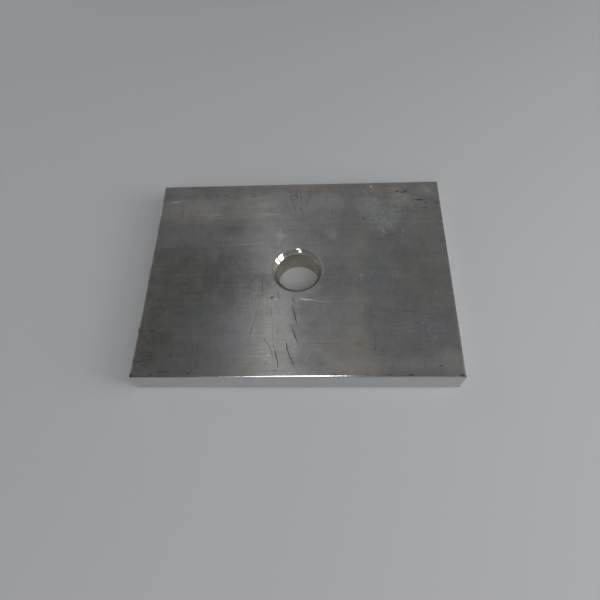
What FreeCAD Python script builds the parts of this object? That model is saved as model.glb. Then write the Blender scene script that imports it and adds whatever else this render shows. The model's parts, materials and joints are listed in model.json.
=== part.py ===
import FreeCAD
import Part

import math
import os

# A backer plate: one length of aluminium flat bar, sawn off at both ends, with one bolt hole
# drilled through its middle and countersunk from the front.
# It lies on its back face. X runs along the bar, Y across it, and Z up through the thickness.
# The origin is the centre of the hole on the back face. Sizes are in millimetres.

# The piece of bar
bar_length = 101.6
bar_width = 76.2
bar_thickness = 9.525

# The rounding that the bar leaves the mill with, along its four long edges
mill_corner_radius = 0.75

# The flat that a file leaves all round each sawn end
sawn_edge_break = 0.25

# The bolt hole, which clears a half-inch bolt
bore_diameter = 14.3

# The countersink on the front, which gives the hole its bright rim
countersink_width = 1.4
countersink_included_angle = 90.0

# The small break that takes the burr off the hole's edge on the back
back_break_width = 0.3
back_break_included_angle = 90.0

# How far a cutter runs past the face that it enters, so that no two faces coincide
cutter_overrun = 1.0

UP = FreeCAD.Vector(0, 0, 1)
ALONG_BAR = FreeCAD.Vector(1, 0, 0)


def bar_section(at_x):
    """The bar's cross-section as a face square to X: a rectangle with its corners rounded."""
    half_width = bar_width / 2
    radius = mill_corner_radius
    # Centres of the four corner arcs, in order round the section, with each arc's first angle
    corners = [
        (half_width - radius, radius, -90),
        (half_width - radius, bar_thickness - radius, 0),
        (-half_width + radius, bar_thickness - radius, 90),
        (-half_width + radius, radius, 180),
    ]

    def on_arc(corner, degrees_on):
        centre_y, centre_z, first_angle = corner
        angle = math.radians(first_angle + degrees_on)
        return FreeCAD.Vector(
            at_x,
            centre_y + radius * math.cos(angle),
            centre_z + radius * math.sin(angle),
        )

    edges = []
    for index, corner in enumerate(corners):
        following = corners[(index + 1) % len(corners)]
        arc = Part.Arc(on_arc(corner, 0), on_arc(corner, 45), on_arc(corner, 90))
        flat = Part.LineSegment(on_arc(corner, 90), on_arc(following, 0))
        edges += [arc.toShape(), flat.toShape()]
    return Part.Face(Part.Wire(edges))


def sawn_bar():
    """The bar cut to length, with the edges of both sawn ends broken by a file."""
    blank = bar_section(-bar_length / 2).extrude(ALONG_BAR * bar_length)
    end_edges = []
    for edge in blank.Edges:
        box = edge.BoundBox
        lies_in_an_end = box.XLength < sawn_edge_break / 2
        if lies_in_an_end:
            end_edges.append(edge)
    return blank.makeChamfer(sawn_edge_break, end_edges)


def conical_cutter(mouth_z, width, included_angle, outward):
    """A cone that widens the bore by width where it meets the face at mouth_z.
    outward is 1 where the face looks up and -1 where it looks down."""
    slope = math.tan(math.radians(included_angle / 2))
    depth = width / slope
    bore_radius = bore_diameter / 2
    mouth_radius = bore_radius + width + cutter_overrun * slope
    tip = FreeCAD.Vector(0, 0, mouth_z - outward * depth)
    return Part.makeCone(
        bore_radius, mouth_radius, depth + cutter_overrun, tip, UP * outward
    )


def bolt_hole():
    """Everything that drilling, countersinking and deburring take away."""
    drill = Part.makeCylinder(
        bore_diameter / 2,
        bar_thickness + 2 * cutter_overrun,
        FreeCAD.Vector(0, 0, -cutter_overrun),
        UP,
    )
    countersink = conical_cutter(
        bar_thickness, countersink_width, countersink_included_angle, 1
    )
    back_break = conical_cutter(0, back_break_width, back_break_included_angle, -1)
    return drill.fuse([countersink, back_break])


def backer_plate():
    """The finished plate, as one solid."""
    return sawn_bar().cut(bolt_hole()).removeSplitter()


def main():
    os.makedirs("parts", exist_ok=True)
    plate = backer_plate()
    plate.exportStep("parts/backer_plate.step")
    print("solids", len(plate.Solids), "valid", plate.isValid())
    print("volume", round(plate.Volume, 1), "box", plate.BoundBox)


main()
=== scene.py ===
import json
import math

import bmesh
import bpy
from mathutils import Euler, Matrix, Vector, noise

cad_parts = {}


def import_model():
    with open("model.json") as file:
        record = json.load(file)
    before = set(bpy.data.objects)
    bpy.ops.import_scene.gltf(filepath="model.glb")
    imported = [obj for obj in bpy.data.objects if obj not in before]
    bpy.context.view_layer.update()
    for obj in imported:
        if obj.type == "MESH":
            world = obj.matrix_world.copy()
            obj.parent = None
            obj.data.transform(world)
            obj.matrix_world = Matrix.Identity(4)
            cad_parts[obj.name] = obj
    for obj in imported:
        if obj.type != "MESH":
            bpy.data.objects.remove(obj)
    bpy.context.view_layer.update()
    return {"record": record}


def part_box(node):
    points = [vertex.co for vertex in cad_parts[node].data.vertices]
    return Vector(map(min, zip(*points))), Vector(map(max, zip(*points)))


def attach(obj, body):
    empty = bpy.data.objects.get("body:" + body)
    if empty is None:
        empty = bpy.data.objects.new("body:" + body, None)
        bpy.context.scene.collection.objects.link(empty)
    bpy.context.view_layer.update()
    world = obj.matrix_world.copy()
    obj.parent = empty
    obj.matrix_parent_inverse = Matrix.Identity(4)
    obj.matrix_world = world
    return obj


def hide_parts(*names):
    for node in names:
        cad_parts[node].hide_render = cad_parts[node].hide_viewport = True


# A backer plate: one length of mill-finish aluminium flat bar, sawn off at both ends, with a
# countersunk bolt hole through its middle. It lies on its back face on a sheet of white paper.
# X runs along the bar, Y across it and Z up. The hole's centre on the back face is the origin.

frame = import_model()

MM = 0.001
UP = Vector((0, 0, 1))

# Two places nearer to each other than this are the same place
tiny = 1e-6

# The bar and its hole, as the solid has them
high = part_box("backer_plate")[1]
half_length = high.x
half_width = high.y
thickness = high.z
mounts = {mount["name"]: mount for mount in frame["record"]["mounts"]}
bore_radius = mounts["bolt_hole"]["dims"]["r_mm"] * MM
mill_corner_radius = 0.75 * MM
sawn_edge_break = 0.25 * MM
countersink_width = 1.4 * MM
back_break_width = 0.3 * MM
mouth_radius = bore_radius + countersink_width


# The plate's mesh

# How the flats are divided into cells, and how many of those make up a side of the square that
# gives way to the rings of faces round the hole
cell_width = 0.8 * MM
cells_along = 127
cells_across = 95
cells_round_hole = 29
cells_up_a_side = 9
corner_steps = 8

# How far the rings of faces reach from the hole's mouth, and half of each side of that square
outer_ring_width = 1.6 * MM
inner_ring_width = 0.5 * MM
gap_x = cells_round_hole * (half_length - sawn_edge_break) / cells_along
gap_y = cells_round_hole * (half_width - mill_corner_radius) / cells_across

# The widths of the worn lines at the countersink's mouth and at the hole's other corners, how
# sharply two faces have to meet there for the line between them to be worn, and how far from the
# mouth it may lie
mouth_wear = 0.03 * MM
worn_line = 0.07 * MM
sharp_turn = math.radians(30)
mouth_slack = 0.1 * MM

# The front edge is rounded less at the left end than at the right, as shares of the mill radius,
# and wavers a little. In the last millimetre at the right end its rounding almost closes.
front_rounding_left = 0.42
front_rounding_right = 0.95
front_rounding_settles_at = 12 * MM
rounding_waver = 0.03
waver_length = 4 * MM
sharp_corner_reach = 1.2 * MM
sharp_corner_share = 0.25

# How far the saw left the ends short, how much more its ripples took off at most, how long those
# are across and up, and how far from its front top corner an end still leans out to full length
saw_short = 0.05 * MM
saw_ripple = 0.07 * MM
saw_ripple_across = 9 * MM
saw_ripple_up = 6 * MM
full_length_reach = 1.5 * MM

# Round a knock, edges longer than the first of these are divided. Its rim strays by that share of
# its reach, in bumps of that size.
longest_left_whole = 0.3 * MM
rim_roughness = 0.35
rim_bumps = 0.35 * MM

# Knocks in the edges and the face: what it is, its place, its reach and its depth in mm, and in an
# edge the way that the metal went
EDGE_KNOCKS = [
    ("nick where the bright line ends", (14.9, -38.0, 9.2), 0.6, 0.05, (0, 1, 0)),
    ("dent low on the front", (41.4, -38.1, 0.7), 1.1, 0.06, (0, 1, 0)),
    ("rounded left corner", (-50.8, -38.1, 9.5), 1.1, 0.14, (1, 1, -1)),
    ("step in the right end", (50.8, -30.4, 9.5), 0.7, 0.14, (-1, 0, 0)),
]
FACE_KNOCKS = [
    ("pit left of the scuffs", (-8.2, -10.6), 0.6, 0.06),
    ("round pit at the back right", (36.0, 33.4), 0.6, 0.08),
    ("long pit, left half", (37.8, 33.0), 0.6, 0.05),
    ("long pit, right half", (38.9, 33.3), 0.6, 0.05),
    ("gouge, left end", (42.3, 29.3), 0.7, 0.04),
    ("gouge, right end", (43.9, 29.3), 0.9, 0.05),
    ("pit right of the hole", (20.6, -3.9), 0.5, 0.04),
]


def edges_along(bm, axis, shortest):
    """The edges that run along an axis and are at least that long."""
    found = []
    for edge in bm.edges:
        run = edge.verts[1].co - edge.verts[0].co
        if abs(run[axis]) > 0.999 * run.length and run.length > shortest:
            found.append(edge)
    return found


def bevel(bm, edges, width, steps):
    """Rounds edges over that width, in that many steps."""
    bmesh.ops.bevel(
        bm, geom=edges, offset=width, offset_type="OFFSET", segments=steps,
        profile=0.5, affect="EDGES", material=-1, clamp_overlap=True,
    )


def sawn_bar():
    """The length of bar, with its mill-rounded long edges and its filed ends."""
    bm = bmesh.new()
    bmesh.ops.create_cube(bm, size=1)
    bmesh.ops.scale(bm, vec=(2 * half_length, 2 * half_width, thickness), verts=bm.verts)
    bmesh.ops.translate(bm, vec=(0, 0, thickness / 2), verts=bm.verts)
    bevel(bm, edges_along(bm, 0, half_length), mill_corner_radius, corner_steps)
    end_edges = []
    for edge in bm.edges:
        if all(abs(vert.co.x) > half_length - tiny for vert in edge.verts):
            end_edges.append(edge)
    bevel(bm, end_edges, sawn_edge_break, steps=3)
    return bm


def divide(bm):
    """Cells all over the flats, and columns along the rounded edges."""
    for axis, shortest, cells in (
        (0, half_length, cells_along),
        (1, half_width, cells_across),
        (2, thickness / 2, cells_up_a_side),
    ):
        bmesh.ops.subdivide_edges(
            bm, edges=edges_along(bm, axis, shortest), cuts=cells - 1, use_grid_fill=True
        )


def turn_on_square(place):
    """The turn about the hole at which a point of the square comes to lie on a circle, so that the
    square's equal steps become equal steps round the circle."""
    across = place.x / gap_x
    up = place.y / gap_y
    if abs(across) > abs(up):
        return math.pi / 4 * up / across + (math.pi if across < 0 else 0)
    return math.pi / 2 - math.pi / 4 * across / up + (math.pi if up < 0 else 0)


def add_ring(bm, rim, radius, height, turn_of):
    """Extrudes a closed rim of edges to a circle about the hole's axis, and returns the new rim."""
    made = bmesh.ops.extrude_edge_only(bm, edges=rim)["geom"]
    for item in made:
        if isinstance(item, bmesh.types.BMVert):
            turn = turn_of(item.co)
            item.co = (radius * math.cos(turn), radius * math.sin(turn), height)
    return [item for item in made if isinstance(item, bmesh.types.BMEdge) and item.is_boundary]


def turn_on_circle(place):
    """The turn about the hole at which a point lies."""
    return math.atan2(place.y, place.x)


def bolt_hole(bm):
    """Cuts the hole through the bar: a countersink, the bore, and a small break at the back."""
    inside = []
    for face in bm.faces:
        middle = face.calc_center_median()
        if abs(middle.x) < gap_x and abs(middle.y) < gap_y and abs(face.normal.z) > 0.99:
            inside.append(face)
    bmesh.ops.delete(bm, geom=inside, context="FACES")
    rims = [edge for edge in bm.edges if edge.is_boundary]
    front_rim = [edge for edge in rims if edge.verts[0].co.z > thickness / 2]
    back_rim = [edge for edge in rims if edge.verts[0].co.z < thickness / 2]
    back_mouth = bore_radius + back_break_width
    turn_of = turn_on_square
    for radius, height in (
        (mouth_radius + outer_ring_width, thickness),
        (mouth_radius + inner_ring_width, thickness),
        (mouth_radius, thickness),
        (bore_radius, thickness - countersink_width),
        (bore_radius, thickness / 2),
        (bore_radius, back_break_width),
        (back_mouth, 0),
    ):
        front_rim = add_ring(bm, front_rim, radius, height, turn_of)
        turn_of = turn_on_circle
    turn_of = turn_on_square
    for radius in (back_mouth + outer_ring_width, back_mouth):
        back_rim = add_ring(bm, back_rim, radius, 0, turn_of)
        turn_of = turn_on_circle
    bmesh.ops.remove_doubles(bm, verts=bm.verts, dist=tiny)
    mouth = []
    corners = []
    for edge in bm.edges:
        if len(edge.link_faces) == 2 and edge.verts[0].co.xy.length < mouth_radius + mouth_slack:
            if edge.calc_face_angle() > sharp_turn:
                at_mouth = min(vert.co.z for vert in edge.verts) > thickness - mouth_slack
                (mouth if at_mouth else corners).append(edge)
    bevel(bm, mouth, mouth_wear, steps=4)
    bevel(bm, corners, worn_line, steps=2)


def ease_front_edge(bm):
    """Draws the front edge's rounding in towards the sharp corner, more at the left end, and
    almost closes it in the last millimetre at the right end."""
    corner_y = -half_width
    reach = mill_corner_radius + tiny
    for vert in bm.verts:
        from_corner_y = vert.co.y - corner_y
        from_corner_z = thickness - vert.co.z
        if from_corner_y > reach or from_corner_z > reach:
            continue
        along = (vert.co.x + half_length) / (half_length + front_rounding_settles_at)
        share = front_rounding_left + (front_rounding_right - front_rounding_left) * min(1, along)
        share += rounding_waver * noise.noise(Vector((vert.co.x / waver_length, 3.3, 0)))
        opened = (1 - sharp_corner_share) * (half_length - vert.co.x) / sharp_corner_reach
        share *= min(1, sharp_corner_share + opened)
        vert.co.y = corner_y + from_corner_y * share
        vert.co.z = thickness - from_corner_z * share


def saw_cut(bm):
    """The ends are not quite flat: each stands out to full length only at its front top corner."""
    for vert in bm.verts:
        short = half_length - abs(vert.co.x)
        if short < sawn_edge_break + tiny:
            side = math.copysign(1, vert.co.x)
            # Nine apart from the middle, so that each end has ripples of its own
            place = Vector((side * 9, vert.co.y / saw_ripple_across, vert.co.z / saw_ripple_up))
            ripple = 0.5 + 0.5 * noise.noise(place)
            from_corner = Vector((0, vert.co.y + half_width, vert.co.z - thickness)).length
            share = min(1, from_corner / full_length_reach)
            vert.co.x -= side * share * (saw_short + saw_ripple * ripple)


def knock(bm, place, reach, depth, way):
    """Presses a rounded hollow into the metal, after dividing the faces there finely enough."""
    near = []
    for edge in bm.edges:
        middle = (edge.verts[0].co + edge.verts[1].co) / 2
        if (middle - place).length < reach + cell_width:
            if edge.calc_length() > longest_left_whole:
                near.append(edge)
    bmesh.ops.subdivide_edges(bm, edges=near, cuts=4, use_grid_fill=True)
    way = way.normalized()
    for vert in bm.verts:
        offset = vert.co - place
        rough = 1 + rim_roughness * noise.noise(vert.co / rim_bumps)
        share = offset.length / (reach * rough)
        if share < 1:
            vert.co += way * depth * (1 - share * share) ** 2


def knocks(bm):
    """Presses all the knocks of both lists into the edges and the front face."""
    for _, place, reach, depth, way in EDGE_KNOCKS:
        knock(bm, Vector(place) * MM, reach * MM, depth * MM, Vector(way))
    for _, (x, y), reach, depth in FACE_KNOCKS:
        knock(bm, Vector((x * MM, y * MM, thickness)), reach * MM, depth * MM, -UP)


# The places of the finishes in the plate's list of materials
MILL, SAWN, COUNTERSUNK, DRILLED = range(4)


def finish_of(face):
    """Which finish a face has. What looks along the bar is a sawn end."""
    middle = face.calc_center_median()
    if middle.xy.length < mouth_radius + 0.01 * MM:
        if middle.z > thickness - countersink_width - worn_line:
            return COUNTERSUNK
        return DRILLED
    if abs(face.normal.x) > 0.8:
        return SAWN
    return MILL


def plate():
    """The whole plate as one piece."""
    bm = sawn_bar()
    divide(bm)
    bolt_hole(bm)
    ease_front_edge(bm)
    saw_cut(bm)
    knocks(bm)
    bmesh.ops.recalc_face_normals(bm, faces=bm.faces)
    for face in bm.faces:
        face.material_index = finish_of(face)
    mesh = bpy.data.meshes.new("mill_plate")
    bm.to_mesh(mesh)
    bm.free()
    mesh.shade_smooth()
    piece = bpy.data.objects.new("mill_plate", mesh)
    bpy.context.scene.collection.objects.link(piece)
    return piece


# Materials

def add(tree, kind, inputs=None, **settings):
    """Adds a node of that kind with its settings, and sets or links its inputs."""
    made = tree.nodes.new(kind)
    for name, value in settings.items():
        setattr(made, name, value)
    for name, value in (inputs or {}).items():
        if isinstance(value, bpy.types.NodeSocket):
            tree.links.new(value, made.inputs[name])
        else:
            made.inputs[name].default_value = value
    return made


def linear(hex_colour):
    """An sRGB hex colour as the linear colour that a shader takes."""
    parts = [int(hex_colour[start:start + 2], 16) / 255 for start in (1, 3, 5)]
    return tuple(
        part / 12.92 if part <= 0.04045 else ((part + 0.055) / 1.055) ** 2.4 for part in parts
    ) + (1.0,)


def material(name):
    """A new, empty material and its node tree."""
    made = bpy.data.materials.new(name)
    made.use_nodes = True
    made.node_tree.nodes.clear()
    return made, made.node_tree


# The mill skin's own tone, between its stains
bare_metal = "#B7B5B4"

# Marks on the front face, in mm: what it is, where it starts and ends, and how wide it is.
# A spot ends close to where it starts.
BOLD_MARKS = [
    ("scuff below the hole, first", (-1.4, -12.8), (0.3, -20.8), 0.34),
    ("scuff below the hole, second", (-1.6, -20.8), (1.1, -27.9), 0.34),
    ("scuff below the hole, third", (-3.1, -26.4), (-2.2, -30.2), 0.32),
    ("scuff below the hole, third, foot", (-2.4, -29.4), (-0.2, -35.0), 0.34),
    ("curved scuff, foot", (-6.4, -29.0), (-5.1, -35.0), 0.30),
    ("pit left of the scuffs", (-8.4, -10.7), (-7.8, -10.6), 0.75),
    ("round pit at the back right", (35.9, 33.4), (36.1, 33.4), 0.85),
    ("long pit at the back right, left", (37.4, 32.9), (38.4, 33.0), 0.55),
    ("long pit at the back right, right", (38.2, 33.1), (39.4, 33.6), 0.60),
    ("gouge at the back right", (41.6, 29.3), (45.2, 29.3), 0.62),
    ("streak behind the hole, bold", (-1.4, 32.6), (-0.2, 31.0), 0.45),
    ("dirt in the left corner", (-50.6, -37.4), (-50.2, -37.6), 0.9),
    ("small gouge in the edge, right", (27.8, -37.2), (29.0, -37.2), 0.35),
    ("long gouge in the edge, right", (33.9, -37.3), (35.4, -37.3), 0.45),
    ("notch in the right corner", (49.2, -37.4), (50.2, -37.8), 0.7),
    ("dark rim of the right corner", (50.4, -37.8), (50.7, -38.0), 0.5),
]
CLEAR_MARKS = [
    ("short scuff under the rim", (-1.5, -10.6), (-0.6, -12.7), 0.5),
    ("core of that scuff", (-1.1, -11.2), (-0.8, -12.1), 0.6),
    ("curved scuff, top", (-10.2, -25.4), (-8.2, -27.8), 0.30),
    ("curved scuff, middle", (-8.5, -27.2), (-6.9, -30.4), 0.34),
    ("second curved scuff", (-6.8, -27.2), (-6.2, -31.6), 0.28),
    ("foot beside the curved scuff", (-7.6, -30.2), (-6.9, -31.4), 0.5),
    ("left scuff, top", (-11.6, -3.0), (-11.4, -9.4), 0.32),
    ("left scuff, foot", (-13.4, -19.6), (-14.8, -24.8), 0.32),
    ("line under the pit", (-8.4, -14.2), (-8.1, -18.0), 0.30),
    ("dash beside the pit", (-6.3, -8.2), (-5.8, -11.5), 0.28),
    ("streak behind the hole, low", (0.1, 27.4), (1.7, 24.0), 0.35),
    ("upright behind the hole, far left", (-3.1, 34.4), (-2.6, 28.4), 0.28),
    ("upright behind the hole, left", (-2.3, 34.0), (-1.8, 27.6), 0.26),
    ("upright behind the hole, low left", (-1.9, 28.6), (-0.9, 24.2), 0.34),
    ("upright behind the hole, middle", (0.2, 36.2), (1.1, 27.4), 0.30),
    ("upright behind the hole, top", (-1.2, 34.4), (-0.8, 32.0), 0.40),
    ("upright behind the hole, right", (4.0, 35.2), (4.2, 30.0), 0.30),
    ("upright behind the hole, low right", (2.8, 31.4), (2.9, 26.0), 0.26),
    ("smear at the back left", (-35.2, 33.9), (-33.4, 31.7), 0.55),
    ("third smear at the back left", (-27.4, 33.8), (-26.8, 32.2), 0.55),
    ("knock on the right end", (48.9, 28.3), (49.7, 27.4), 0.7),
    ("brown spot at the back", (23.0, 21.7), (23.3, 20.7), 0.75),
    ("small gouge", (44.4, 25.8), (46.2, 25.6), 0.45),
    ("pit right of the hole", (20.5, -3.9), (20.8, -3.9), 0.6),
    ("swept line, left", (33.0, -15.8), (38.6, -16.4), 0.30),
    ("upright line at the right", (24.4, -22.6), (24.4, -29.6), 0.28),
    ("tip of that line", (24.4, -28.2), (24.4, -29.6), 0.40),
    ("spot near the front right", (43.2, -34.6), (44.4, -34.5), 0.55),
    ("tick with a tail", (-46.9, -22.5), (-45.4, -22.6), 0.8),
    ("knock on the left end", (-50.6, -21.2), (-50.0, -23.6), 0.9),
    ("second knock on the left end", (-50.6, -31.4), (-50.2, -34.0), 1.0),
    ("smear from the second knock", (-50.2, -33.0), (-47.4, -32.8), 0.7),
    ("dirt by the front edge, left", (-43.8, -36.2), (-38.4, -36.3), 0.45),
    ("spot by the front edge, left", (-33.4, -36.8), (-32.0, -36.8), 0.8),
    ("dirt on the front edge, left", (-44.8, -37.1), (-43.8, -37.1), 0.7),
    ("spot by the front edge", (-6.4, -36.0), (-5.7, -36.0), 0.6),
    ("dirt on the front edge, middle", (10.8, -37.1), (12.8, -37.1), 0.40),
    ("dirt on the front edge, right", (21.0, -37.2), (22.6, -37.2), 0.40),
]
FAINT_MARKS = [
    ("left scuff, middle", (-11.4, -8.6), (-12.6, -15.4), 0.32),
    ("left scuff, below the middle", (-12.5, -14.8), (-13.8, -20.6), 0.28),
    ("dash beside the rim", (-9.0, -1.0), (-8.4, -3.8), 0.4),
    ("twin of the left scuff, top", (-12.7, -5.0), (-12.6, -12.0), 0.28),
    ("twin of the left scuff", (-13.3, -9.0), (-13.7, -15.8), 0.32),
    ("third of the left scuffs", (-14.5, -8.5), (-14.2, -14.6), 0.25),
    ("line from the left scuffs", (-12.4, -14.0), (-13.4, -20.6), 0.28),
    ("hair across the pearly area, first", (-9.6, -8.0), (-9.5, -20.0), 0.22),
    ("hair across the pearly area, second", (-10.8, -12.0), (-11.6, -21.0), 0.22),
    ("hair across the pearly area, third", (-7.4, -18.0), (-7.2, -27.0), 0.25),
    ("hair across the pearly area, fourth", (-5.6, -21.0), (-5.9, -29.0), 0.22),
    ("line above the curved scuff", (-13.6, -24.4), (-10.0, -25.4), 0.30),
    ("long leaning line at the back", (17.9, 37.0), (19.7, 30.2), 0.34),
    ("second smear at the back left", (-31.2, 34.8), (-30.6, 32.0), 0.5),
    ("row of dabs", (-26.3, 32.0), (-25.0, 31.8), 0.7),
    ("row of dabs, end", (-24.2, 31.8), (-22.2, 31.8), 0.6),
    ("hooked streak at the back", (-14.9, 30.7), (-12.7, 29.4), 0.45),
    ("short upright at the back left", (-42.4, 28.8), (-42.2, 22.6), 0.55),
    ("streak at the back left", (-29.0, 27.8), (-23.0, 26.6), 0.4),
    ("second streak at the back left", (-28.8, 25.2), (-26.2, 24.4), 0.55),
    ("spot right of the frosted patch", (36.9, 31.6), (37.2, 31.3), 0.7),
    ("upright at the back right", (12.3, 26.4), (12.1, 22.2), 0.5),
    ("upright at the back right, second", (10.2, 33.0), (10.4, 28.6), 0.35),
    ("dirt by the right end", (50.2, 32.4), (50.3, 30.8), 0.6),
    ("spot behind the pink edge", (49.6, 22.4), (49.9, 21.4), 0.7),
    ("slanting line right of the hole, top", (23.7, 1.2), (25.4, -1.0), 0.35),
    ("slanting line right of the hole, middle", (25.6, -0.8), (26.8, -3.8), 0.40),
    ("slanting line right of the hole, foot", (27.0, -4.6), (27.9, -5.8), 0.70),
    ("line at the edge of the frosted patch", (30.4, 15.8), (33.6, 13.8), 0.5),
    ("line under the frosted patch", (25.6, 12.6), (30.4, 12.0), 0.35),
    ("swept line, right", (38.0, -16.3), (42.2, -17.3), 0.35),
    ("second swept line", (36.6, -19.0), (39.2, -21.0), 0.5),
    ("brown spot, first", (23.9, -17.9), (24.6, -17.6), 0.8),
    ("brown spot, second", (26.4, -15.1), (27.4, -16.0), 0.55),
    ("spot at the right", (46.6, -20.4), (47.2, -21.6), 0.8),
    ("line beside the spot", (42.0, -22.2), (46.6, -22.2), 0.30),
    ("faint line at the right", (29.6, -21.0), (35.4, -21.3), 0.35),
    ("short streak, foot", (2.8, -34.3), (4.0, -34.0), 0.9),
    ("short streak", (5.0, -30.9), (3.8, -33.8), 0.45),
    ("spot right of the short streak", (8.0, -33.9), (8.8, -33.9), 0.8),
    ("upper brown line", (2.0, -27.1), (17.4, -27.2), 0.32),
    ("lower brown line", (0.8, -28.3), (14.8, -28.3), 0.30),
    ("line near the front right", (43.0, -30.0), (44.4, -33.2), 0.45),
    ("smudge near the front", (27.0, -28.6), (27.1, -31.0), 0.7),
    ("upright below the brown spots", (22.1, -13.0), (22.4, -17.0), 0.4),
    ("line left of the middle", (-25.4, -26.0), (-24.6, -30.0), 0.4),
    ("line at the left", (-33.0, -25.0), (-32.2, -28.4), 0.45),
    ("spots near the front left", (-39.0, -30.2), (-38.6, -31.4), 0.8),
    ("spots near the front left, second", (-36.6, -30.4), (-36.0, -31.0), 0.8),
    ("tick, first", (-48.2, -14.6), (-46.0, -14.5), 0.7),
    ("tick, second", (-44.2, -14.7), (-43.4, -14.6), 0.9),
    ("tick, third", (-46.8, -16.8), (-43.2, -16.8), 0.7),
    ("tick, fourth", (-46.6, -17.6), (-45.8, -19.2), 0.7),
    ("tail of the tick", (-45.4, -22.7), (-42.8, -24.0), 0.6),
    ("tick, fifth", (-47.4, -26.6), (-42.8, -27.4), 0.6),
    ("tick, sixth", (-48.2, -29.7), (-43.8, -29.9), 0.55),
    ("dirt at the left end", (-50.6, -25.6), (-50.2, -30.4), 0.9),
    ("dirt along the front edge, left", (-45.0, -36.4), (-27.0, -36.7), 0.9),
    ("line along the front edge, left", (-31.0, -37.0), (-16.0, -36.8), 0.35),
    ("line along the front edge, middle", (-16.5, -36.1), (1.0, -36.0), 0.32),
    ("line along the front edge, right", (2.0, -37.2), (49.0, -37.2), 0.32),
    ("dirt at the left end, back", (-50.6, 23.0), (-50.4, 15.0), 0.5),
    ("dirt at the left end, middle", (-50.6, 13.0), (-50.3, 11.6), 0.6),
    ("dirt at the left end, low", (-50.6, 5.0), (-50.4, 2.6), 0.5),
    ("dirt at the right end", (50.4, 18.0), (50.3, 4.0), 0.45),
    ("dab at the back", (-17.4, 32.1), (-15.9, 31.7), 0.7),
    ("swept line, start", (31.2, -14.8), (32.6, -15.6), 0.6),
    ("spot near the front", (26.9, -33.3), (27.9, -33.3), 0.55),
    ("end of the brown lines", (18.6, -27.4), (19.8, -27.4), 0.55),
    ("fine upright behind the hole, first", (-3.7, 35.2), (-3.4, 30.4), 0.36),
    ("fine upright behind the hole, second", (-0.6, 35.6), (-0.3, 29.6), 0.36),
    ("fine upright behind the hole, third", (1.8, 35.0), (2.1, 29.4), 0.36),
    ("fine upright behind the hole, fourth", (3.3, 35.6), (3.6, 27.8), 0.36),
    ("fine upright behind the hole, fifth", (-1.2, 30.6), (-0.4, 25.6), 0.36),
    ("fine upright behind the hole, sixth", (0.9, 28.0), (1.3, 24.4), 0.36),
    ("bluish smudge, first", (40.2, -24.4), (41.4, -25.4), 0.8),
    ("bluish smudge, second", (39.4, -26.2), (40.8, -26.6), 0.7),
    ("bluish smudge, third", (37.2, -27.2), (38.8, -27.8), 0.7),
    ("dab on the left end", (-50.3, -21.6), (-49.4, -22.6), 1.2),
    ("dirt on the left end's edge", (-50.6, -20.0), (-50.5, -37.0), 0.8),
    ("dirt on the left end's edge, back", (-50.6, 30.0), (-50.6, -22.0), 0.6),
    ("smudge below the tick", (-48.6, -24.6), (-45.8, -26.8), 0.8),
    ("smudge at the front left", (-49.8, -28.6), (-47.8, -30.6), 0.9),
    ("smudge at the front left, second", (-50.2, -35.2), (-47.2, -36.2), 0.8),
    ("dirt along the front edge, left, second", (-42.6, -35.8), (-31.0, -36.0), 0.4),
    ("dash on the right end, back", (50.4, 26.0), (50.3, 20.4), 0.5),
    ("dash on the right end", (50.4, 16.8), (50.4, 12.8), 0.4),
]
FAINTEST_MARKS = [
    ("long upright line at the left", (-27.0, 17.0), (-27.0, -8.0), 0.55),
    ("arc at the left, start", (-48.8, 19.8), (-43.2, 16.6), 0.45),
    ("arc at the left, middle", (-43.8, 17.0), (-40.4, 13.0), 0.5),
    ("arc at the left, end", (-40.8, 13.8), (-39.6, 10.4), 0.5),
    ("greenish spot", (20.0, 18.8), (20.5, 18.6), 1.0),
    ("spot at the left", (-30.8, -16.3), (-30.4, -16.5), 1.3),
    ("spot at the far left", (-38.6, 4.9), (-38.2, 4.3), 1.4),
    ("line by the back edge", (-8.0, 34.4), (14.0, 34.3), 0.35),
    ("upright at the far right", (45.6, 22.0), (45.2, 12.0), 0.5),
    ("line right of the olive stain", (44.0, -4.0), (46.4, -3.6), 0.6),
    ("line below the olive stain", (36.0, -12.0), (44.0, -9.0), 0.5),
    ("spot left of the middle", (-29.2, -18.9), (-29.0, -19.3), 1.0),
    ("dash left of the middle", (-27.4, -22.4), (-27.2, -24.4), 0.6),
]
PALE_MARKS = [
    ("scratch at the back left", (-48.4, 29.9), (-42.2, 30.9), 0.46),
    ("core of that scratch", (-46.9, 30.2), (-44.4, 30.5), 0.75),
    ("scratch under the hole", (0.8, -11.1), (5.2, -11.6), 0.45),
    ("core of that scratch under the hole", (1.8, -11.3), (4.0, -11.5), 0.6),
    ("fleck in the frosted patch", (29.4, 15.8), (30.4, 14.9), 0.5),
    ("fleck at the back", (26.4, 36.2), (27.0, 35.6), 0.8),
]
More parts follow.
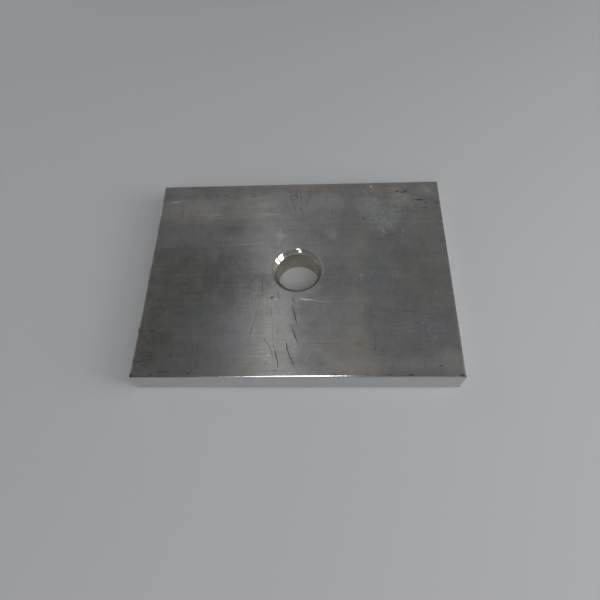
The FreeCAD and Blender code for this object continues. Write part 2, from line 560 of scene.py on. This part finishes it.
PALE_FAINT_MARKS = [
    ("whole scratch at the back left", (-50.2, 29.7), (-40.4, 31.0), 0.7),
    ("tail of the scratch under the hole", (-1.0, -11.0), (11.4, -12.7), 0.55),
    ("streak at the back, left", (-38.0, 23.9), (-27.0, 23.8), 0.75),
    ("core of that streak", (-35.0, 23.9), (-28.4, 23.8), 0.6),
    ("streak at the back, right", (-16.0, 23.9), (-6.0, 23.7), 0.8),
    ("core of the right streak", (-14.8, 23.9), (-8.6, 23.8), 0.6),
    ("streak above it", (-16.0, 28.7), (-3.6, 28.3), 0.45),
    ("streak above it, second", (-22.0, 27.4), (-6.0, 27.2), 0.40),
    ("streak above it, third", (-44.0, 27.7), (-30.0, 27.3), 0.45),
    ("streak above it, fourth", (-22.0, 31.4), (-4.6, 31.0), 0.35),
    ("streak below it", (-40.0, 22.4), (-24.0, 22.3), 0.35),
    ("fine scratch left of the hole", (-32.0, 10.1), (-9.0, 11.3), 0.40),
    ("fine scratch at the left end", (-50.2, 10.0), (-42.0, 10.1), 0.40),
    ("pale streak at the right", (42.4, -20.6), (40.8, -23.4), 0.36),
    ("pale dab under it", (43.5, -24.6), (43.0, -26.0), 0.45),
    ("rub at the right", (45.6, -8.4), (44.8, -10.2), 0.5),
    ("dabs in the right corner", (46.0, 34.6), (47.6, 33.2), 1.4),
    ("rubbed metal round the pits", (32.0, 35.0), (38.0, 34.6), 1.0),
    ("rubbed metal round the pits, foot", (36.0, 31.8), (40.0, 31.2), 1.0),
    ("fleck by the back edge", (38.8, 36.2), (39.0, 35.2), 0.8),
    ("fleck at the back, second", (23.6, 34.0), (24.6, 33.2), 1.0),
    ("fleck in the frosted patch, second", (28.2, 17.6), (29.0, 16.8), 0.7),
    ("fleck in the frosted patch, third", (31.6, 18.8), (32.6, 18.0), 0.8),
    ("fleck in the frosted patch, fourth", (33.0, 24.4), (33.8, 22.6), 0.9),
    ("fleck in the frosted patch, fifth", (27.2, 29.6), (28.4, 29.2), 0.8),
    ("fleck in the frosted patch, sixth", (36.4, 16.4), (36.8, 15.0), 0.7),
    ("fleck in the frosted patch, seventh", (30.6, 20.8), (29.4, 19.8), 0.7),
    ("ring right of the hole, left", (31.8, -2.2), (32.0, -3.6), 0.4),
    ("ring right of the hole, right", (33.2, -2.6), (33.1, -4.0), 0.4),
    ("dab right of the hole", (21.0, -2.0), (21.6, -2.8), 0.9),
    ("rub beside the pit", (-7.4, -11.0), (-6.2, -11.5), 0.9),
    ("pale dab in the pearly area, first", (-10.8, -29.6), (-9.4, -29.8), 0.5),
    ("pale dab in the pearly area, second", (-9.0, -30.9), (-7.2, -31.0), 0.6),
    ("pale dab in the pearly area, third", (-10.2, -32.2), (-8.6, -32.3), 0.5),
    ("pale dab in the pearly area, fourth", (-7.4, -28.9), (-6.3, -29.2), 0.5),
    ("pale dab in the pearly area, fifth", (-12.0, -31.4), (-10.9, -31.5), 0.4),
    ("pale dab in the pearly area, sixth", (-8.4, -33.2), (-7.2, -33.1), 0.4),
]


# Soft patches on the front face, in mm: what it is, its middle, how far it reaches along X and
# Y, its tone, and how much of that shows. A few are painted shade or highlight, as marked.
PATCHES = [
    # Painted shade, the next three: darker where the face mirrors the dark left of the room.
    ("painted shade at the left", (-39, -5), (23, 21), "#A2A099", 0.9),
    ("painted shade left of the hole", (-22, -2), (15, 17), "#989895", 0.9),
    ("painted shade beside the rim", (-12, -5), (6, 7), "#8C8C8B", 0.8),
    ("olive tone at the front left", (-46, -26), (12, 14), "#9D9A94", 0.9),
    ("greenish tone at the left", (-30, -17), (9, 8), "#A8AAAA", 0.8),
    ("lavender tone at the front left", (-20, -24), (9, 10), "#B7B8BC", 0.9),
    ("grey tone by the front edge", (-33, -31), (11, 8), "#ADAFA9", 0.8),
    ("pearly area, upper", (-10, -18), (5, 9), "#B3B2AD", 0.7),
    ("pearly area, lower", (-14, -32), (9, 5), "#B4B4B0", 0.8),
    ("dull metal round the scuffs", (-5, -30), (6, 6), "#AAABA1", 0.7),
    ("grey tone in front of the hole", (3, -20), (7, 12), "#A1A0A3", 0.8),
    ("grey tone behind the front edge", (4, -33), (7, 5), "#979797", 0.7),
    ("rubbed band at the back left", (-39, 26), (20, 9), "#DDD9D1", 0.95),
    ("rubbed band, inner end", (-17, 27), (13, 8), "#C2C1B7", 0.9),
    ("grey metal in front of the band", (-42, 16), (14, 6), "#C3C2C1", 0.8),
    ("dark streak in front of the band", (-22, 18), (5, 5), "#A09F9E", 0.8),
    ("purple tone at the back edge", (-10, 35.5), (22, 3.5), "#ABA6A6", 0.9),
    ("purple tone at the back left", (-43, 35.5), (9, 3), "#D7CFD0", 0.7),
    ("grey metal right of the hole", (12, -2), (8, 10), "#A7A6A9", 0.9),
    ("warm tone right of the hole", (20, 8), (7, 14), "#C1BFB8", 0.9),
    ("light tone right of the scuffs", (19, -14), (6, 9), "#C6C5BE", 0.9),
    ("yellowish stain", (19, -27), (7, 9), "#C7C4B7", 0.9),
    ("yellowish stain, left", (11, -29), (9, 5), "#BEBAB4", 0.8),
    ("light tone by the front edge", (20, -34.5), (12, 4), "#D1CDC8", 0.8),
    ("olive spot", (25.5, -16.5), (3.5, 3), "#ADACA5", 0.8),
    ("bluish tone right of the hole", (27, -4), (5, 12), "#ABAFB1", 0.9),
    ("olive stain at the right", (42, -3), (11, 15), "#B4B1A7", 0.9),
    ("yellow side of the olive stain", (35, -7), (5, 7), "#B4AFAD", 0.8),
    ("dark spot of the olive stain", (37, 6), (7, 7), "#ADA9A4", 0.8),
    ("purple tone behind the olive stain", (33, 12), (5, 5), "#B1AEB2", 0.8),
    ("frosted patch", (30, 22), (10, 9), "#D6D9D5", 0.65),
    ("frosted patch, back left", (25, 28), (7, 6), "#DDE1E1", 0.65),
    ("frosted patch, back right", (37, 30), (7, 5), "#E2E5D4", 0.65),
    ("pinkish tone at the right", (43, 19), (7, 7), "#C3BFB3", 0.8),
    ("pink tone at the right end", (48, 9), (6, 8), "#B9B4B0", 0.8),
    ("light band behind the hole", (11, 29), (10, 6), "#CFCFCC", 0.9),
    ("light tone behind the hole", (2, 27), (6, 6), "#C4C7C4", 0.7),
    ("purple tone at the back", (8, 35.5), (16, 3.5), "#BDB6B3", 0.9),
    ("pale corner at the back right", (46, 34), (7, 4), "#D0CDC7", 0.7),
    ("warm tone at the back", (30, 34.5), (12, 3.5), "#CAC4BC", 0.7),
    ("bluish tone at the front right", (40, -22), (12, 8), "#BAB9BD", 0.9),
    ("grey tone left of it", (29, -24), (7, 9), "#B5B5B6", 0.9),
    ("light corner at the front right", (47, -33), (9, 6), "#D3D2CD", 0.9),
    ("light tone by the front edge, right", (36, -34), (10, 4), "#CBCCC8", 0.8),
    ("rubbed cross, along", (-6.2, 14.1), (3.6, 1.4), "#D8D7D0", 0.8),
    ("rubbed cross, across", (-6.2, 14.1), (1.4, 5.0), "#D5D4CE", 0.8),
    ("rubbed spot right of the cross", (11.5, 14.9), (2.4, 3.4), "#CECFCC", 0.8),
    ("shade left of the rubbed spot", (6.3, 15.4), (4.5, 2.5), "#B0AFAD", 0.7),
    ("bluish patch behind the hole", (9, 22), (5, 4), "#C3C5C9", 0.6),
    ("bluish dirt at the front right", (39.8, -25.8), (3.6, 3.0), "#B4B6BB", 0.6),
    ("brown spot", (19.6, -26.8), (2.1, 1.9), "#CDBBA0", 0.45),
    ("brown spot, back", (18.5, -22.6), (2.6, 2.0), "#D8D2C8", 0.6),
    ("pink spot at the right", (40.6, 19.0), (1.6, 2.6), "#D0C8BD", 0.6),
    # Painted highlight, the next two: lighter under the ceiling lamp's band down the face.
    ("painted sheen in the pearly area, front", (-8.4, -31.4), (3.8, 3.2), "#C2C1BC", 0.7),
    ("painted sheen in the pearly area, back", (-7.6, -21.5), (3.2, 8), "#C1C1BC", 0.7),
]


# Marks and patches fade out this far under the front face, so the back has none
mark_depth = 4 * MM

# A mark is strongest in its middle and fades out at its reach, so it reaches further than it shows:
# along it by that many lengths and one width, and across it by that many widths
reach_in_lengths = 0.88
reach_in_widths = 1.15


def lens(tree, place, middle, reach, turn=0):
    """A soft patch on the front face: 1 in its middle and 0 past its reach, fading with depth."""
    local = add(tree, "ShaderNodeMapping", {
        "Vector": place,
        "Location": (middle[0] * MM, middle[1] * MM, thickness),
        "Rotation": (0, 0, turn),
        "Scale": (reach[0] * MM, reach[1] * MM, mark_depth),
    }, vector_type="TEXTURE").outputs[0]
    return add(tree, "ShaderNodeTexGradient", {"Vector": local},
               gradient_type="SPHERICAL").outputs["Fac"]


def scratched(tree, place, rows, gaps, strength):
    """All the marks of a list in one pattern, as strong as that in the middle of each, with gaps
    eaten into their edges."""
    total = None
    for _, start, end, width in rows:
        run = Vector(end) - Vector(start)
        middle = (Vector(start) + Vector(end)) / 2
        reach = (reach_in_lengths * run.length + width, reach_in_widths * width)
        shade = lens(tree, place, middle, reach, math.atan2(run.y, run.x))
        if total is None:
            total = shade
        else:
            total = add(tree, "ShaderNodeMath", {0: total, 1: shade},
                        operation="MAXIMUM").outputs[0]
    ragged = add(tree, "ShaderNodeMath", {0: total, 1: gaps}, operation="SUBTRACT").outputs[0]
    return add(tree, "ShaderNodeMapRange", {
        "Value": ragged, "From Min": 0.0, "From Max": 0.5, "To Max": strength,
    }, interpolation_type="SMOOTHSTEP").outputs[0]


def stronger_of(tree, patterns):
    """The strongest of several patterns at each place."""
    total = patterns[0]
    for pattern in patterns[1:]:
        total = add(tree, "ShaderNodeMath", {0: total, 1: pattern}, operation="MAXIMUM").outputs[0]
    return total


def toned(tree, colour, pattern, start, end, share, tone):
    """The colour, turned that share of the way to a tone as the pattern goes from start to end."""
    cover = add(tree, "ShaderNodeMapRange", {
        "Value": pattern, "From Min": start, "From Max": end, "To Max": share,
    }, interpolation_type="SMOOTHSTEP").outputs[0]
    # A Mix node's colours are its inputs 6 and 7 and its output 2
    return add(tree, "ShaderNodeMix", {0: cover, 6: colour, 7: linear(tone)},
               data_type="RGBA").outputs[2]


def wandering(tree, place, size, amount):
    """The place, moved about a little, so that what reads it has uneven edges."""
    drift = add(tree, "ShaderNodeTexNoise", {"Vector": place, "Scale": 1 / size, "Detail": 2.0})
    centred = add(tree, "ShaderNodeVectorMath", {
        0: drift.outputs["Color"], 1: (0.5, 0.5, 0.5),
    }, operation="SUBTRACT").outputs[0]
    return add(tree, "ShaderNodeVectorMath", {
        0: centred, 1: (amount, amount, 0), 2: place,
    }, operation="MULTIPLY_ADD").outputs[0]


def streaks(tree, place, along, across, detail=3.0):
    """Noise drawn out so that a streak is that long along the bar and across it."""
    drawn = add(tree, "ShaderNodeMapping", {
        "Vector": place, "Scale": (1 / along, 1 / across, 1 / min(along, across)),
    }).outputs[0]
    return add(tree, "ShaderNodeTexNoise", {
        "Vector": drawn, "Scale": 1.0, "Detail": detail, "Roughness": 0.6,
    }).outputs["Fac"]


def rolled_surface(tree, place):
    """The colour of the bar's skin before any mark: its stains, some painted shade and sheen, its
    grain and its oxide mottle.
    """
    mottle = add(tree, "ShaderNodeTexNoise", {
        "Vector": place, "Scale": 1 / (5 * MM), "Detail": 4.0, "Roughness": 0.6,
    }).outputs["Fac"]
    crumbs = add(tree, "ShaderNodeTexNoise", {
        "Vector": place, "Scale": 1 / (1.1 * MM), "Detail": 3.0, "Roughness": 0.7,
    }).outputs["Fac"]
    # The real grain is finer. It is drawn as coarse as the render can show.
    grain = streaks(tree, place, 26 * MM, 0.45 * MM)
    broad_grain = streaks(tree, place, 60 * MM, 1.9 * MM, 2.0)
    rubs = streaks(tree, wandering(tree, place, 15 * MM, 1.5 * MM), 0.40 * MM, 11 * MM)

    colour = linear(bare_metal)
    patch_place = wandering(tree, place, 5 * MM, 6 * MM)
    uneven = add(tree, "ShaderNodeMapRange", {
        "Value": mottle, "From Min": 0.25, "From Max": 0.75, "To Min": 0.75, "To Max": 1.2,
    }).outputs[0]
    for _, middle, reach, tone, share in PATCHES:
        shade = add(tree, "ShaderNodeMath", {
            0: lens(tree, patch_place, middle, reach), 1: uneven,
        }, operation="MULTIPLY").outputs[0]
        colour = toned(tree, colour, shade, 0.0, 0.7, share, tone)

    for pattern, start, end, share, tone in (
        (mottle, 0.45, 0.68, 0.15, "#8A8985"),
        (mottle, 0.55, 0.32, 0.15, "#DEDEDC"),
        (crumbs, 0.50, 0.68, 0.12, "#84837F"),
        (crumbs, 0.50, 0.34, 0.12, "#E6E6E4"),
        (broad_grain, 0.42, 0.66, 0.08, "#DEDDDA"),
        (grain, 0.45, 0.70, 0.10, "#8A8A8A"),
        (grain, 0.50, 0.28, 0.10, "#DEDEDE"),
        (rubs, 0.52, 0.72, 0.08, "#7E7E7E"),
        (rubs, 0.48, 0.28, 0.07, "#DEDEDC"),
    ):
        colour = toned(tree, colour, pattern, start, end, share, tone)

    # The frosted patch is speckled with pale crystals and dull gaps between them
    frosting = lens(tree, patch_place, (31, 24), (17, 17))
    speckle = add(tree, "ShaderNodeTexNoise", {
        "Vector": place, "Scale": 1 / (0.75 * MM), "Detail": 3.0, "Roughness": 0.75,
    }).outputs["Fac"]
    speckle = add(tree, "ShaderNodeMath", {0: speckle, 1: 0.5}, operation="SUBTRACT").outputs[0]
    speckle = add(tree, "ShaderNodeMath", {0: speckle, 1: frosting},
                  operation="MULTIPLY").outputs[0]
    colour = toned(tree, colour, speckle, 0.0, 0.09, 0.28, "#F6F7F4")
    colour = toned(tree, colour, speckle, 0.0, -0.09, 0.20, "#74736F")
    return colour, grain, broad_grain


def mill_aluminium():
    """Mill-finish aluminium, as rolled and long handled: dull grey, with a fine grain along the
    bar that drags highlights out across it, oxide stains, and dark scuffs and bright scratches."""
    made, tree = material("mill_finish_aluminium")
    place = add(tree, "ShaderNodeTexCoord").outputs["Object"]
    colour, grain, broad_grain = rolled_surface(tree, place)

    mark_place = wandering(tree, place, 2.2 * MM, 0.7 * MM)
    gaps = add(tree, "ShaderNodeTexNoise", {
        "Vector": place, "Scale": 1 / (0.7 * MM), "Detail": 2.0,
    }).outputs["Fac"]
    gaps = add(tree, "ShaderNodeMath", {0: gaps, 1: 0.45}, operation="MULTIPLY").outputs[0]
    dark = stronger_of(tree, [
        scratched(tree, mark_place, BOLD_MARKS, gaps, 0.64),
        scratched(tree, mark_place, CLEAR_MARKS, gaps, 0.46),
        scratched(tree, mark_place, FAINT_MARKS, gaps, 0.28),
        scratched(tree, mark_place, FAINTEST_MARKS, gaps, 0.20),
    ])
    pale = stronger_of(tree, [
        scratched(tree, mark_place, PALE_MARKS, gaps, 0.72),
        scratched(tree, mark_place, PALE_FAINT_MARKS, gaps, 0.32),
    ])
    colour = toned(tree, colour, dark, 0.0, 1.0, 1.0, "#35332F")
    colour = toned(tree, colour, pale, 0.0, 1.0, 1.0, "#F4F4F2")

    # The narrow sides are cleaner than the flats, and the long edges are rubbed smoother
    facing = add(tree, "ShaderNodeSeparateXYZ", {
        0: add(tree, "ShaderNodeNewGeometry").outputs["Normal"],
    })
    sideways = add(tree, "ShaderNodeMath", {0: facing.outputs["Y"]},
                   operation="ABSOLUTE").outputs[0]
    colour = toned(tree, colour, sideways, 0.80, 0.98, 0.55, "#DDDEE0")
    on_edge = add(tree, "ShaderNodeMath", {
        0: facing.outputs["Y"], 1: facing.outputs["Z"],
    }, operation="MULTIPLY").outputs[0]
    on_edge = add(tree, "ShaderNodeMath", {0: on_edge}, operation="ABSOLUTE").outputs[0]
    rough = add(tree, "ShaderNodeMapRange", {
        "Value": on_edge, "From Min": 0.05, "From Max": 0.3, "To Min": 0.29, "To Max": 0.16,
    }, interpolation_type="SMOOTHSTEP").outputs[0]
    scuffed = add(tree, "ShaderNodeMath", {0: dark, 1: pale}, operation="ADD").outputs[0]
    rough = add(tree, "ShaderNodeMath", {0: scuffed, 1: 0.08, 2: rough},
                operation="MULTIPLY_ADD").outputs[0]

    lines = add(tree, "ShaderNodeMath", {0: grain, 1: 0.4, 2: broad_grain},
                operation="MULTIPLY_ADD").outputs[0]
    bump = add(tree, "ShaderNodeBump", {"Height": lines, "Distance": 0.005 * MM}).outputs[0]
    bump = add(tree, "ShaderNodeBump", {
        "Height": dark, "Distance": 0.008 * MM, "Normal": bump,
    }, invert=True).outputs[0]
    shader = add(tree, "ShaderNodeBsdfPrincipled", {
        "Base Color": colour, "Metallic": 1.0, "Roughness": rough, "Anisotropic": 0.78,
        "Normal": bump,
        "Tangent": add(tree, "ShaderNodeTangent", direction_type="RADIAL", axis="X").outputs[0],
    })
    add(tree, "ShaderNodeOutputMaterial", {"Surface": shader.outputs[0]})
    return made


def sawn_aluminium():
    """Aluminium as the saw left it: brighter than the mill skin, with fine upright tooth marks and
    a few broader bands where the blade wandered."""
    made, tree = material("sawn_aluminium")
    place = add(tree, "ShaderNodeTexCoord").outputs["Object"]
    blade_path = wandering(tree, place, 12 * MM, 1.0 * MM)
    leaning = add(tree, "ShaderNodeMapping", {
        "Vector": blade_path, "Rotation": (math.radians(8), 0, 0),
    }).outputs[0]
    teeth = add(tree, "ShaderNodeTexNoise", {
        "Vector": add(tree, "ShaderNodeMapping", {
            "Vector": leaning, "Scale": (1 / (20 * MM), 1 / (0.28 * MM), 1 / (12 * MM)),
        }).outputs[0],
        "Scale": 1.0, "Detail": 3.0,
    }).outputs["Fac"]
    bands = add(tree, "ShaderNodeTexNoise", {
        "Vector": add(tree, "ShaderNodeMapping", {
            "Vector": leaning, "Scale": (1 / (20 * MM), 1 / (3 * MM), 1 / (25 * MM)),
        }).outputs[0],
        "Scale": 1.0, "Detail": 2.0,
    }).outputs["Fac"]
    colour = toned(tree, linear("#B2B3B4"), teeth, 0.3, 0.7, 1.0, "#C3C4C5")
    colour = toned(tree, colour, bands, 0.45, 0.7, 0.35, "#A4A5A6")
    bump = add(tree, "ShaderNodeBump", {"Height": teeth, "Distance": 0.012 * MM}).outputs[0]
    shader = add(tree, "ShaderNodeBsdfPrincipled", {
        "Base Color": colour, "Metallic": 1.0, "Roughness": 0.40, "Normal": bump,
    })
    add(tree, "ShaderNodeOutputMaterial", {"Surface": shader.outputs[0]})
    return made


def countersunk_aluminium():
    """Freshly countersunk aluminium: the brightest metal here at the back left, and olive, rougher
    and darker elsewhere. The darker colour is painted shade for the dark room mirrored there."""
    made, tree = material("countersunk_aluminium")
    place = add(tree, "ShaderNodeTexCoord").outputs["Object"]
    ring_width = 0.12 * MM
    flat = add(tree, "ShaderNodeVectorMath", {
        0: place, 1: (1 / ring_width, 1 / ring_width, 0),
    }, operation="MULTIPLY").outputs[0]
    turns = add(tree, "ShaderNodeVectorMath", {0: flat}, operation="LENGTH").outputs["Value"]
    rings = add(tree, "ShaderNodeTexNoise", {
        "W": turns, "Scale": 1.0, "Detail": 2.0,
    }, noise_dimensions="1D").outputs["Fac"]
    smear = add(tree, "ShaderNodeTexNoise", {
        "Vector": place, "Scale": 1 / (1.2 * MM), "Detail": 3.0,
    }).outputs["Fac"]
    # The rim is bright and smooth up to the first of these, in mm from the hole's axis towards the
    #     # front right, and rough and painted darker, as shade, from the second on. The smear makes
    #     both
    #     # limits uneven.
    bright_until = -3.4
    shaded_from = -1.4
    towards_front_right = add(tree, "ShaderNodeVectorMath", {
        0: place, 1: (0.5 / MM, -0.87 / MM, 0),
    }, operation="DOT_PRODUCT").outputs["Value"]
    dull_and_shaded = add(tree, "ShaderNodeMath", {0: smear, 1: 4.0, 2: towards_front_right},
               operation="MULTIPLY_ADD").outputs[0]
    colour = toned(tree, linear("#CFCDC2"), smear, 0.40, 0.7, 1.0, "#B0AEA2")
    # Painted shade: darker towards the front right, where the cone mirrors the dark room.
    colour = toned(tree, colour, dull_and_shaded, bright_until, shaded_from, 1.0, "#9D9C95")
    rough = add(tree, "ShaderNodeMapRange", {
        "Value": dull_and_shaded, "From Min": bright_until, "From Max": shaded_from, "To Min": 0.07, "To Max": 0.38,
    }, interpolation_type="SMOOTHSTEP").outputs[0]
    bump = add(tree, "ShaderNodeBump", {"Height": rings, "Distance": 0.003 * MM}).outputs[0]
    shader = add(tree, "ShaderNodeBsdfPrincipled", {
        "Base Color": colour, "Metallic": 1.0, "Roughness": rough, "Normal": bump,
    })
    add(tree, "ShaderNodeOutputMaterial", {"Surface": shader.outputs[0]})
    return made


def drilled_aluminium():
    """The drilled wall: olive brown with cutting oil and oxide, with rings from the drill."""
    made, tree = material("drilled_aluminium")
    place = add(tree, "ShaderNodeTexCoord").outputs["Object"]
    drawn = add(tree, "ShaderNodeMapping", {
        "Vector": place, "Scale": (1 / (9 * MM), 1 / (9 * MM), 1 / (0.35 * MM)),
    }).outputs[0]
    rings = add(tree, "ShaderNodeTexNoise", {
        "Vector": drawn, "Scale": 1.0, "Detail": 3.0,
    }).outputs["Fac"]
    colour = toned(tree, linear("#AEAA9C"), rings, 0.3, 0.7, 1.0, "#C3BEB1")
    bump = add(tree, "ShaderNodeBump", {"Height": rings, "Distance": 0.03 * MM}).outputs[0]
    shader = add(tree, "ShaderNodeBsdfPrincipled", {
        "Base Color": colour, "Metallic": 1.0, "Roughness": 0.42, "Normal": bump,
    })
    add(tree, "ShaderNodeOutputMaterial", {"Surface": shader.outputs[0]})
    return made


# The world's colour, how bright it and the far floor look, where white is 1, and the stretch of
# floor over which the paper turns to that
sky_tint = (0.98, 1.0, 1.03, 1)
backdrop = 0.40
backdrop_starts = 170 * MM
backdrop_ends = 480 * MM


def looked_at(tree):
    """1 where the camera looks, straight or by way of the metal, and 0 for light on its way."""
    rays = add(tree, "ShaderNodeLightPath")
    return add(tree, "ShaderNodeMath", {
        0: rays.outputs["Is Camera Ray"], 1: rays.outputs["Is Glossy Ray"],
    }, operation="MAXIMUM").outputs[0]


def paper():
    """White paper: matt and plain, and out of the lamps' reach as pale as the world behind it."""
    made, tree = material("white_paper")
    shader = add(tree, "ShaderNodeBsdfPrincipled", {
        "Base Color": linear("#BBBCBE"), "Roughness": 0.9, "Specular IOR Level": 0.1,
    })
    place = add(tree, "ShaderNodeTexCoord").outputs["Object"]
    away = add(tree, "ShaderNodeVectorMath", {0: place}, operation="LENGTH").outputs["Value"]
    far = add(tree, "ShaderNodeMapRange", {
        "Value": away, "From Min": backdrop_starts, "From Max": backdrop_ends,
    }, interpolation_type="SMOOTHSTEP").outputs[0]
    far = add(tree, "ShaderNodeMath", {0: far, 1: looked_at(tree)}, operation="MULTIPLY").outputs[0]
    pale = add(tree, "ShaderNodeEmission", {"Color": sky_tint, "Strength": backdrop})
    either = add(tree, "ShaderNodeMixShader", {0: far, 1: shader.outputs[0], 2: pale.outputs[0]})
    add(tree, "ShaderNodeOutputMaterial", {"Surface": either.outputs[0]})
    return made


# Stage

def floor():
    """The sheet of paper under the plate, which runs on far past the frame."""
    bm = bmesh.new()
    bmesh.ops.create_grid(bm, x_segments=1, y_segments=1, size=6)
    mesh = bpy.data.meshes.new("floor")
    bm.to_mesh(mesh)
    bm.free()
    made = bpy.data.objects.new("floor", mesh)
    mesh.materials.append(paper())
    bpy.context.scene.collection.objects.link(made)


# The lamps: name, azimuth and elevation, width and height as angles, all in degrees, then how
# bright its surface is and how far away it is in metres. The two windows make the double glint in
# the countersink, the front lamps the bright line on the front edge, and the ceiling lamp the
# soft band down the face.
LAMPS = [
    ("window_near", -21.3, 26, 15.5, 34, 5.0, 0.5),
    ("window_far", -1.6, 26, 10, 34, 5.0, 0.5),
    ("left_back", 152, 33, 30, 20, 1.1, 0.4),
    ("front_right_high", -32, 54, 20, 16, 3.0, 0.9),
    ("front_lamp", -102, 32, 9.5, 9, 2.2, 0.9),
    ("front_lamp_above", -96.5, 57, 10, 32, 8.5, 0.9),
    ("ceiling_lamp", 106, 66.5, 4, 11, 2.0, 0.9),
]


def lamp(name, azimuth, elevation, wide, tall, radiance, distance):
    """A flat lamp seen from the hole in that direction, as wide and tall as those angles.
    Azimuth is in degrees from X towards Y."""
    turn = math.radians(azimuth)
    rise = math.radians(elevation)
    level = math.cos(rise)
    towards = Vector((math.cos(turn) * level, math.sin(turn) * level, math.sin(rise)))
    data = bpy.data.lights.new(name, "AREA")
    data.shape = "RECTANGLE"
    data.size = 2 * distance * math.tan(math.radians(wide / 2))
    data.size_y = 2 * distance * math.tan(math.radians(tall / 2))
    data.energy = radiance * data.size * data.size_y * math.pi
    made = bpy.data.objects.new(name, data)
    made.location = Vector((0, 0, thickness)) + towards * distance
    made.rotation_euler = towards.to_track_quat("Z", "Y").to_euler()
    made.visible_camera = False
    bpy.context.scene.collection.objects.link(made)


def camera():
    """The camera where the photograph was taken from, as the plate's outline and hole rims say."""
    data = bpy.data.cameras.new("camera")
    data.sensor_width = 36
    data.lens = 29.94
    data.clip_start = 0.005
    data.clip_end = 50
    made = bpy.data.objects.new("camera", data)
    made.location = (9.58 * MM, -90.12 * MM, 151.4 * MM)
    made.rotation_euler = Euler(math.radians(angle) for angle in (28.966, 2.888, 0.961))
    bpy.context.scene.collection.objects.link(made)
    bpy.context.scene.camera = made


def world():
    """A dim, plain room, a little darker at the left and overhead, and pale where it is seen."""
    made = bpy.data.worlds.new("world")
    made.use_nodes = True
    tree = made.node_tree
    tree.nodes.clear()
    way = add(tree, "ShaderNodeSeparateXYZ", {
        0: add(tree, "ShaderNodeTexCoord").outputs["Generated"],
    })
    right = add(tree, "ShaderNodeMapRange", {
        "Value": way.outputs["X"], "From Min": -0.35, "From Max": 0.1,
        "To Min": 0.09, "To Max": 0.135,
    }, interpolation_type="SMOOTHSTEP").outputs[0]
    lower = add(tree, "ShaderNodeMapRange", {
        "Value": way.outputs["Z"], "From Min": 0.85, "From Max": 0.62, "To Max": 0.08,
    }, interpolation_type="SMOOTHSTEP").outputs[0]
    brightness = add(tree, "ShaderNodeMath", {0: right, 1: lower}, operation="ADD").outputs[0]
    # The metal mirrors the pale backdrop only where it is low over the floor
    rays = add(tree, "ShaderNodeLightPath")
    low_down = add(tree, "ShaderNodeMapRange", {
        "Value": way.outputs["Z"], "From Min": 0.52, "From Max": 0.20,
    }, interpolation_type="SMOOTHSTEP").outputs[0]
    mirrored = add(tree, "ShaderNodeMath", {
        0: low_down, 1: rays.outputs["Is Glossy Ray"],
    }, operation="MULTIPLY").outputs[0]
    shown = add(tree, "ShaderNodeMath", {
        0: mirrored, 1: rays.outputs["Is Camera Ray"],
    }, operation="MAXIMUM").outputs[0]
    brightness = add(tree, "ShaderNodeMix", {0: shown, 2: brightness, 3: backdrop}).outputs[0]
    sky = add(tree, "ShaderNodeBackground", {"Color": sky_tint, "Strength": brightness})
    add(tree, "ShaderNodeOutputWorld", {"Surface": sky.outputs[0]})
    bpy.context.scene.world = made


piece = plate()
# In the order of MILL, SAWN, COUNTERSUNK and DRILLED
for finish in (mill_aluminium(), sawn_aluminium(), countersunk_aluminium(), drilled_aluminium()):
    piece.data.materials.append(finish)
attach(piece, "root")
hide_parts("backer_plate")
floor()
for row in LAMPS:
    lamp(*row)
camera()
world()
bpy.context.scene.view_settings.view_transform = "Standard"
